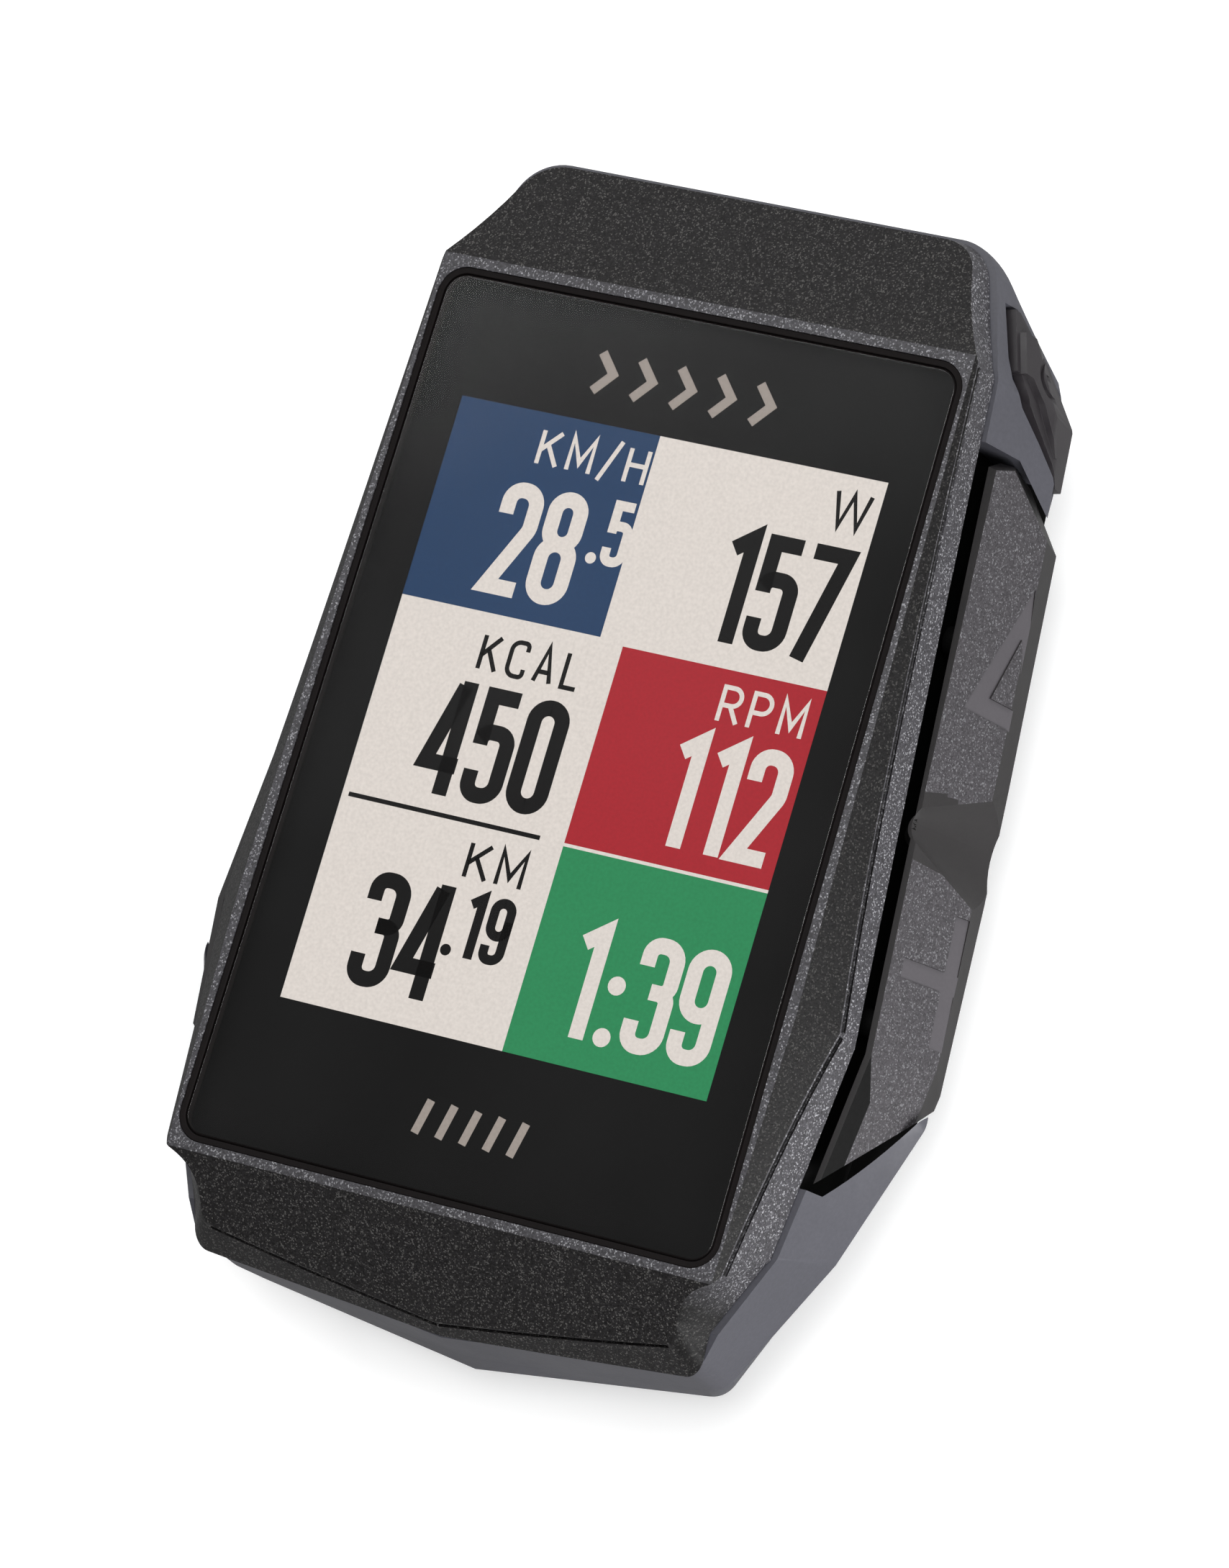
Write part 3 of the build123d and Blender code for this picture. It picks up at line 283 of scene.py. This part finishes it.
woven = moulded("woven_membrane", (0.78, 0.78, 0.76), 0.8, 0.1, 2600, 0.6)
red_sheath = moulded("lead_sheath", (0.45, 0.015, 0.012), 0.38, 0.08)
steel = metal("steel", (0.56, 0.56, 0.57), 0.3)
brass = metal("brass", (0.72, 0.52, 0.22), 0.3)
glass = glass_finish("cover_glass")
board = board_finish("circuit_board")
foil = foil_finish("battery_foil")

finishes = {
    cover_finish: ["front_cover"],
    shell_finish: ["rear_shell"],
    key_finish: ["rocker_right", "rocker_left"],
    button_finish: ["power_button"],
    gasket_rubber: ["lens_gasket"],
    boot_black_and_painted_shade: ["key_boots"],
    rubber: ["housing_seal", "power_button_seal", "battery_pads", "port_seal", "port_cover"],
    black_plastic: ["lens_tape", "display_carrier", "display_panel", "quarter_turn_mount"],
    chip_epoxy: ["processor", "memory_chip", "gps_receiver", "buzzer"],
    ceramic: ["gps_antenna", "battery_connector", "display_connector", "backlight"],
    film: ["display_flex"],
    woven: ["vent_membrane"],
    red_sheath: ["battery_leads"],
    steel: ["rocker_pins", "power_switch", "shield_can", "radio_module", "pressure_sensor",
            "board_screws", "key_switches", "charge_port", "port_cover_pin", "case_screws",
            "mount_screws"],
    brass: ["thread_inserts"],
    glass: ["display_lens"],
    board: ["main_board"],
    foil: ["battery"],
}
for material, names in finishes.items():
    for name in names:
        data = nodes[name].data
        data.materials.clear()
        data.materials.append(material)


# ------------------------------------------------------------------ materials of single faces
def repaint(name, material, chosen):
    """Give a CAD node's faces that chosen(face) picks a second material."""
    data = nodes[name].data
    data.materials.append(material)
    for face in data.polygons:
        if chosen(face):
            face.material_index = len(data.materials) - 1


def towards(face, side):
    """Normal and middle, in millimetres, of a face, as they would be on the right half of the case."""
    normal, middle = face.normal, face.center / MM
    return Vector((normal.x * side, normal.y, normal.z)), Vector((middle.x * side, middle.y, middle.z))


# A rocker in millimetres: the heights of its front edge and ridge, the ends of its thumb groove, the
# depth of its symbols, and a point and the slope of its inner wall.
key_top_z, key_ridge_z = 12.9, 8.1
thumb_groove = (-1.9, 2.3)
symbol_depth = 0.12
inner_corner, inner_slope = (20.4, -12.95), 0.0823

# The case in millimetres: a point and the slope of its side line, and a rocker's pocket.
side_corner, side_slope, pocket_inset = (17.2, 25.4), 0.0705, 1.2
pocket_half_length, pocket_floor_z, pocket_least_x = 21.9, 5.55, 15.0


def lobe(front_high, front_low, ridge):
    """Normal and a point of the plane of one lobe's face."""
    high, low = Vector((*front_high, key_top_z)), Vector((*front_low, key_top_z))
    outer = Vector((*ridge, key_ridge_z))
    return (outer - low).cross(high - low).normalized(), low


lobes = [lobe((18.09, 21.4), (19.44, 2.0), (20.94, 10.0)),
         lobe((19.85, -1.8), (20.77, -12.95), (22.49, -8.0))]


def on_lobe(face, side):
    """The grained faces of a rocker's two lobes, with their bevels."""
    normal, middle = towards(face, side)
    in_groove = thumb_groove[0] < middle.y < thumb_groove[1]
    return max(normal.dot(n) for n, _ in lobes) > 0.97 and not in_groove


def symbol_floor(face, side):
    """The sunk floors of the symbols."""
    normal, middle = towards(face, side)
    return any(normal.dot(n) > 0.9995 and abs((middle - low).dot(n) + symbol_depth) < 0.02
               for n, low in lobes)


def hidden_side(face, side):
    """Faces of a rocker that look into the pocket: its posts, hooks and inner wall."""
    _, middle = towards(face, side)
    inner_x = inner_corner[0] - (middle.y - inner_corner[1]) * inner_slope
    return middle.x < inner_x + 0.02 and middle.z < key_top_z - 0.2


def pocket_face(face, side):
    """Faces of the shell inside one rocker's pocket: its inner wall and its level floor."""
    normal, middle = towards(face, side)
    wall_x = side_corner[0] + (side_corner[1] - middle.y) * side_slope - pocket_inset
    inside = abs(middle.y) < pocket_half_length and middle.z > pocket_floor_z
    level = abs(normal.x) < 0.05 and abs(normal.y) < 0.05
    return inside and middle.x > pocket_least_x and (middle.x < wall_x + 0.1 or level)


for name, side in (("rocker_right", 1), ("rocker_left", -1)):
    # The faces off the lobes get the painted shade.
    repaint(name, key_painted_shade, lambda face: not on_lobe(face, side))
    repaint(name, key_smooth, lambda face: symbol_floor(face, side))
    # Painted shade: the rocker's faces in its pocket are painted black.
    repaint(name, boot_black_and_painted_shade, lambda face: hidden_side(face, side))
for side in (1, -1):
    # Painted shade: the shell's grey walls and floor in the pockets are painted black.
    repaint("rear_shell", boot_black_and_painted_shade, lambda face: pocket_face(face, side))
repaint("display_lens", gasket_rubber, lambda face: abs(face.normal.z) < 0.9)

# ------------------------------------------------------------------ softened edges
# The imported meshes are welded, cleared of lines inside flat faces and bevelled; radii in millimetres.
edge_radius = {
    "front_cover": 0.14, "rear_shell": 0.14, "rocker_right": 0.2, "rocker_left": 0.2,
    "power_button": 0.12, "quarter_turn_mount": 0.15, "port_cover": 0.12, "display_lens": 0.04,
    "lens_gasket": 0.05, "case_screws": 0.06, "mount_screws": 0.06,
}
for name, radius in edge_radius.items():
    piece = nodes[name]
    weld = piece.modifiers.new("weld", "WELD")
    weld.merge_threshold = 0.000002
    flat = piece.modifiers.new("flat", "DECIMATE")
    flat.decimate_type = "DISSOLVE"
    flat.angle_limit = math.radians(0.6)
    flat.delimit = {"MATERIAL"}
    bevel = piece.modifiers.new("edges", "BEVEL")
    bevel.width = radius * MM
    bevel.segments = 2
    bevel.limit_method = "ANGLE"
    bevel.angle_limit = math.radians(22)
    bevel.use_clamp_overlap = True
    piece.modifiers.new("normals", "WEIGHTED_NORMAL")

# ------------------------------------------------------------------ screen graphics
lens_low, lens_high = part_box("display_lens")
screen_size = Vector((26.97, 35.97))
screen_width, screen_height = screen_size * MM
layer = 0.01 * MM
ground_z = lens_low.z + layer


def keep(name, mesh, material):
    """Make a piece from a bmesh, give it its finish and let it ride on the case."""
    data = bpy.data.meshes.new(name)
    mesh.to_mesh(data)
    mesh.free()
    data.materials.append(material)
    piece = bpy.data.objects.new(name, data)
    bpy.context.scene.collection.objects.link(piece)
    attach(piece, "case")


def screen_point(u, v):
    """Point of the screen, from shares of its width (from the left) and height (from the top)."""
    return Vector(((u - 0.5) * screen_width, (0.5 - v) * screen_height, 0))


def panel(mesh, left, top, right, bottom, height):
    """Flat rectangle of the screen between two corners given as shares."""
    corners = ((left, bottom), (right, bottom), (right, top), (left, top))
    ring = [mesh.verts.new(screen_point(u, v) + Vector((0, 0, height))) for u, v in corners]
    mesh.faces.new(ring)


def rounded(points, radii, closed):
    """Points of a path whose corners are rounded by radii; a radius of zero keeps the corner."""
    path, count, steps = [], len(points), 8
    for i, (point, radius) in enumerate(zip(points, radii)):
        is_bend = closed or 0 < i < count - 1
        if not is_bend or radius <= 0:
            path.append(point)
            continue
        before, after = points[i - 1] - point, points[(i + 1) % count] - point
        half = before.angle(after) / 2
        reach = min(radius / math.tan(half), before.length / 2, after.length / 2)
        before.normalize()
        after.normalize()
        hub = point + (before + after).normalized() * (reach * math.tan(half) / math.sin(half))
        first, last = point + before * reach - hub, point + after * reach - hub
        turn = first.angle(last, 0)
        for k in range(steps + 1):
            spoke = first * math.sin((1 - k / steps) * turn) + last * math.sin(k / steps * turn)
            path.append(hub + spoke / max(math.sin(turn), 1e-9))
    return path


least_mitre, least_length = 0.35, 1e-9


def ribbon(mesh, path, width, closed, height):
    """Flat band of a width along a path, mitred at its bends."""
    count = len(path)
    pairs = []
    for i, point in enumerate(path):
        before = path[i - 1] if closed or i else None
        after = path[(i + 1) % count] if closed or i < count - 1 else None
        ways = []
        if before is not None and (point - before).length > least_length:
            ways.append((point - before).normalized())
        if after is not None and (after - point).length > least_length:
            ways.append((after - point).normalized())
        way = sum(ways, Vector((0, 0))).normalized()
        side = Vector((-way.y, way.x))
        stretch = 1 / max(side.dot(Vector((-ways[0].y, ways[0].x))), least_mitre)
        offset = side * (width / 2 * stretch)
        pairs.append([mesh.verts.new((*(point + s * offset), height)) for s in (1, -1)])
    for i in range(count if closed else count - 1):
        (a, b), (c, d) = pairs[i], pairs[(i + 1) % count]
        mesh.faces.new((b, d, c, a))


# Each letter is a list of strokes. A stroke's points are (x, y, corner radius) in a box one unit wide
# and one high, and a leading True closes it.
arc = 0.5
GLYPHS = {
    "0": [(True, (0, 0, arc), (1, 0, arc), (1, 1, arc), (0, 1, arc))],
    "1": [(False, (0.0, 0.86, 0), (0.62, 1.0, 0), (0.62, -0.07, 0))],
    "2": [(False, (0, 0.74, 0), (0, 1, arc), (1, 1, arc), (1, 0.62, 0.6), (0, 0, 0), (1.1, 0, 0))],
    "3": [(False, (0, 0.78, 0), (0, 1, arc), (1, 1, arc), (1, 0.54, 0.35), (0.35, 0.54, 0)),
          (False, (0.35, 0.54, 0), (1, 0.54, 0.35), (1, 0, arc), (0, 0, arc), (0, 0.24, 0))],
    "4": [(False, (0.64, 1.03, 0), (-0.06, 0.23, 0), (1.12, 0.23, 0)),
          (False, (0.8, 1.08, 0), (0.8, -0.08, 0))],
    "5": [(False, (1.0, 1, 0), (0.03, 1, 0), (0.03, 0.5, 0)),
          (False, (0, 0.56, 0), (0.2, 0.64, 0.3), (1, 0.64, arc), (1, 0, arc), (0, 0, arc),
           (0, 0.24, 0))],
    "7": [(False, (-0.25, 1, 0), (0.97, 1, 0), (0.16, -0.08, 0))],
    "8": [(True, (0.04, 0.54, arc), (0.96, 0.54, arc), (0.96, 1, arc), (0.04, 1, arc)),
          (True, (0, 0, arc), (1, 0, arc), (1, 0.54, arc), (0, 0.54, arc))],
    "9": [(True, (0, 0.42, arc), (1, 0.42, arc), (1, 1, arc), (0, 1, arc)),
          (False, (1, 0.7, 0), (1, 0, arc), (0, 0, arc), (0, 0.24, 0))],
    "K": [(False, (0, 1, 0), (0, 0, 0)), (False, (1, 1, 0), (0, 0.4, 0)),
          (False, (0.36, 0.62, 0), (1.05, 0, 0))],
    "M": [(False, (0, 0, 0), (0, 1, 0), (0.6, 0.25, 0), (1.2, 1, 0), (1.2, 0, 0))],
    "H": [(False, (0, 1, 0), (0, 0, 0)), (False, (1, 1, 0), (1, 0, 0)),
          (False, (0, 0.52, 0), (1, 0.52, 0))],
    "C": [(False, (1, 0.76, 0), (1, 1, arc), (0, 1, arc), (0, 0, arc), (1, 0, arc), (1, 0.24, 0))],
    "A": [(False, (0, 0, 0), (0.5, 1.04, 0), (1, 0, 0)), (False, (0.16, 0.3, 0), (0.84, 0.3, 0))],
    "L": [(False, (0, 1, 0), (0, 0, 0), (0.9, 0, 0))],
    "W": [(False, (0, 1, 0), (0.3, 0, 0), (0.65, 0.96, 0), (1.0, 0, 0), (1.3, 1, 0))],
    "R": [(False, (0, 0, 0), (0, 1, 0), (1, 1, arc), (1, 0.48, arc), (0, 0.48, 0)),
          (False, (0.5, 0.48, 0), (1.05, 0, 0))],
    "P": [(False, (0, 0, 0), (0, 1, 0), (1, 1, arc), (1, 0.45, arc), (0, 0.45, 0))],
    "/": [(False, (-0.1, -0.12, 0), (0.75, 1.12, 0))],
}
# Widths of letters that are wider or narrower than the rest. Dots have their width and radius in
# stroke widths, and levels that run from the foot (0) to the top (1).
LETTER_WIDTH = {"M": 1.2, "W": 1.3, "/": 0.65, "1": 0.68}
DOT_WIDTH = {".": 1.0, ":": 1.55}
DOT_LEVELS = {".": (0,), ":": (0, 0.52)}
DOT_RADIUS = 0.59


def from_corner(point):
    """Point of the screen, from millimetres right of and above its top left corner."""
    return Vector((point.x - screen_size.x / 2, point.y + screen_size.y / 2)) * MM


def dot(mesh, middle, radius, height, sides=20):
    """Round dot of the screen."""
    ring = []
    for k in range(sides):
        angle = 2 * math.pi * k / sides
        rim = from_corner(middle + radius * Vector((math.cos(angle), math.sin(angle))))
        ring.append(mesh.verts.new((*rim, height)))
    mesh.faces.new(ring)


def write(mesh, text, right, foot, high, wide, stroke, gap, height):
    """Write text so that it ends at right (all in mm on the screen, from its top left corner)."""
    spans = []
    for letter in text:
        if letter in DOT_WIDTH:
            spans.append(stroke * DOT_WIDTH[letter])
        else:
            spans.append(wide * LETTER_WIDTH.get(letter, 1.0) + stroke)
    x, low, rise = right - sum(spans) - gap * (len(text) - 1), stroke / 2 - foot, high - stroke
    for letter, span in zip(text, spans):
        for level in DOT_LEVELS.get(letter, ()):
            dot(mesh, Vector((x + span / 2, low + level * rise)), stroke * DOT_RADIUS, height)
        for closed, *corners in GLYPHS.get(letter, []):
            points = [Vector((x + stroke / 2 + u * wide, low + v * rise)) for u, v, _ in corners]
            path = rounded(points, [radius * wide for _, _, radius in corners], closed)
            ribbon(mesh, [from_corner(point) for point in path], stroke * MM, closed, height)
        x += span + gap


def srgb(*levels):
    """Linear colour from 8-bit display values."""
    return tuple(c / 255 / 12.92 if c <= 10 else ((c / 255 + 0.055) / 1.055) ** 2.4 for c in levels)


white_ink = screen_ink("screen_white", srgb(225, 217, 210))
blue_ink = screen_ink("screen_blue", srgb(34, 62, 97))
red_ink = screen_ink("screen_red", srgb(169, 36, 46))
green_ink = screen_ink("screen_green", srgb(44, 137, 87))
black_ink = screen_ink("screen_black", srgb(4, 3, 3))
# The lens marks are print on the glass, yet they glow faintly (0.1): painted light.
mark_ink_with_painted_glow = screen_ink("lens_marks", srgb(150, 141, 134), 0.1)

# Fields of the screen: their left, top, right and bottom as shares of its width and height.
for name, ink, box in (
    ("screen_ground", white_ink, (0, 0, 1, 1)),
    ("screen_blue_field", blue_ink, (0, 0, 0.471, 0.3325)),
    ("screen_red_field", red_ink, (0.527, 0.3395, 1, 0.6614)),
    ("screen_green_field", green_ink, (0.527, 0.6667, 1, 1)),
    ("screen_rule", black_ink, (0.0156, 0.6588, 0.4705, 0.6662)),
):
    sheet = bmesh.new()
    panel(sheet, *box, ground_z + (0 if name == "screen_ground" else layer))
    keep(name, sheet, ink)

# Readings: each has a right edge and a foot, in millimetres from the screen's top left corner.
white_text, black_text = bmesh.new(), bmesh.new()
text_z = ground_z + 2 * layer
digit = {"high": 6.68, "wide": 1.72, "stroke": 0.92, "gap": 0.25, "height": text_z}
small_digit = {"high": 3.86, "wide": 1.02, "stroke": 0.57, "gap": 0.22, "height": text_z}
label = {"high": 2.25, "stroke": 0.27, "gap": 0.5, "height": text_z}
write(white_text, "KM/H", 12.55, 3.12, wide=1.14, **label)
write(white_text, "28", 9.88, 10.88, **digit)
write(white_text, ".5", 12.8, 7.95, **small_digit)
write(black_text, "W", 26.45, 3.12, wide=1.6, **label)
write(black_text, "157", 26.5, 10.84, **digit)
write(black_text, "KCAL", 12.35, 15.35, wide=1.0, **label)
write(black_text, "450", 12.45, 22.75, **digit)
write(white_text, "RPM", 26.25, 15.3, wide=1.11, **label)
write(white_text, "112", 26.45, 22.72, **digit)
write(black_text, "KM", 12.45, 27.07, wide=1.23, **label)
write(black_text, "34", 8.98, 34.32, **digit)
write(black_text, ".19", 12.65, 31.47, **small_digit)
write(white_text, "1:39", 26.3, 34.38, **digit)
keep("screen_readings_light", white_text, white_ink)
keep("screen_readings_dark", black_text, black_ink)

# Black print on the underside of the glass, round the screen's window.
mask = bmesh.new()
inset, lens_taper = 0.05 * MM, 0.53 * MM
mask_z = ground_z + 3 * layer
half_width, half_height = screen_width / 2, screen_height / 2
inner = [(-half_width, -half_height), (half_width, -half_height), (half_width, half_height),
         (-half_width, half_height)]
low_half = lens_high.x
top_half = low_half - lens_taper
outer = [(-low_half + inset, lens_low.y + inset), (low_half - inset, lens_low.y + inset),
         (top_half - inset, lens_high.y - inset), (-top_half + inset, lens_high.y - inset)]
rings = [[mask.verts.new((x, y, mask_z)) for x, y in ring] for ring in (outer, inner)]
for i in range(4):
    j = (i + 1) % 4
    mask.faces.new((rings[0][i], rings[0][j], rings[1][j], rings[1][i]))
print_ink = moulded("lens_print", (0.003, 0.003, 0.003), 0.5, 0.1, Specular_IOR_Level=0.05)
keep("lens_print", mask, print_ink)

# Generic marks above and below the window: a row of chevrons and a row of bars.
marks = bmesh.new()
mark_z = mask_z + layer
chevron_pitch, chevron_place, chevron_reach = 2.5, Vector((0.3, 20.9)), Vector((1.0, 1.15))
bar_pitch, bar_foot_y, bar_run = 1.5, -23.6, Vector((0.45, 2.0))
for k in range(-2, 3):
    tip = chevron_place + Vector((chevron_pitch * k, 0))
    upper = tip + Vector((-chevron_reach.x, chevron_reach.y))
    ribbon(marks, [upper * MM, tip * MM, (tip - chevron_reach) * MM], 0.55 * MM, False, mark_z)
    foot = Vector((bar_pitch * k, bar_foot_y))
    ribbon(marks, [foot * MM, (foot + bar_run) * MM], 0.5 * MM, False, mark_z)
keep("lens_marks", marks, mark_ink_with_painted_glow)

# ------------------------------------------------------------------ floor, light and camera
floor_half_size = 4
floor_mesh = bmesh.new()
bmesh.ops.create_grid(floor_mesh, x_segments=1, y_segments=1, size=floor_half_size)
floor_data = bpy.data.meshes.new("floor")
floor_mesh.to_mesh(floor_data)
floor = bpy.data.objects.new("floor", floor_data)
# The paper glows a little for the camera alone, so that it reads as a white studio sweep.
paper = Shader("floor_paper")
seen = paper.node("ShaderNodeLightPath").outputs["Is Camera Ray"]
floor_data.materials.append(paper.finish(
    paper.mix(seen, grey(0.45), grey(0.93)), 0.9,
    Emission_Color=grey(1.0), Emission_Strength=paper.ramp(seen, 0, 1, 0, 0.25)))
bpy.context.scene.collection.objects.link(floor)

centre = Vector((0, 0, 10)) * MM


def softbox(name, direction, distance, size, power):
    """Rectangular area light that looks at the object from a direction; sizes in metres."""
    data = bpy.data.lights.new(name, "AREA")
    data.shape = "RECTANGLE"
    data.size, data.size_y = size
    data.energy = power
    light = bpy.data.objects.new(name, data)
    light.location = centre + Vector(direction).normalized() * distance
    light.rotation_euler = (centre - light.location).to_track_quat("-Z", "Y").to_euler()
    bpy.context.scene.collection.objects.link(light)


softbox("key_light", (1.0, -0.5, 0.3), 0.2, (0.12, 0.1), 0.42)
softbox("back_light", (0.45, 1.0, 0.15), 0.8, (0.4, 0.4), 3.0)
softbox("upper_light", (0.3, 0.1, 1.0), 1.0, (0.5, 0.5), 5)
softbox("top_light", (-0.1, 1.0, 1.0), 0.9, (0.5, 0.4), 1.2)
softbox("left_light", (-1.0, 0.1, 0.5), 0.9, (0.4, 0.6), 2)
softbox("sheen_card", (-0.42, 0.46, 0.8), 0.9, (0.5, 0.25), 1.5)
world = bpy.data.worlds.new("studio")
world.use_nodes = True
sky = world.node_tree.nodes["Background"].inputs
sky["Color"].default_value = (1, 1, 1, 1)
sky["Strength"].default_value = 0.12
bpy.context.scene.world = world

camera_place = Vector((179.0, -61.5, 393.9)) * MM
camera_aim = Vector((2.65, -1.93, 16.1)) * MM
camera_roll = math.radians(-16.6)
camera_data = bpy.data.cameras.new("camera")
camera_data.sensor_fit = "HORIZONTAL"
camera_data.sensor_width = 36
camera_data.lens = 221.33
camera_data.clip_start = 0.01
camera = bpy.data.objects.new("camera", camera_data)
look = (camera_aim - camera_place).normalized()
right = look.cross(Vector((0, 1, 0))).normalized()
up = right.cross(look)
up = up * math.cos(camera_roll) + right * math.sin(camera_roll)
right = look.cross(up)
camera.matrix_world = Matrix((
    (right.x, up.x, -look.x, camera_place.x),
    (right.y, up.y, -look.y, camera_place.y),
    (right.z, up.z, -look.z, camera_place.z),
    (0, 0, 0, 1),
))
bpy.context.scene.collection.objects.link(camera)
bpy.context.scene.camera = camera
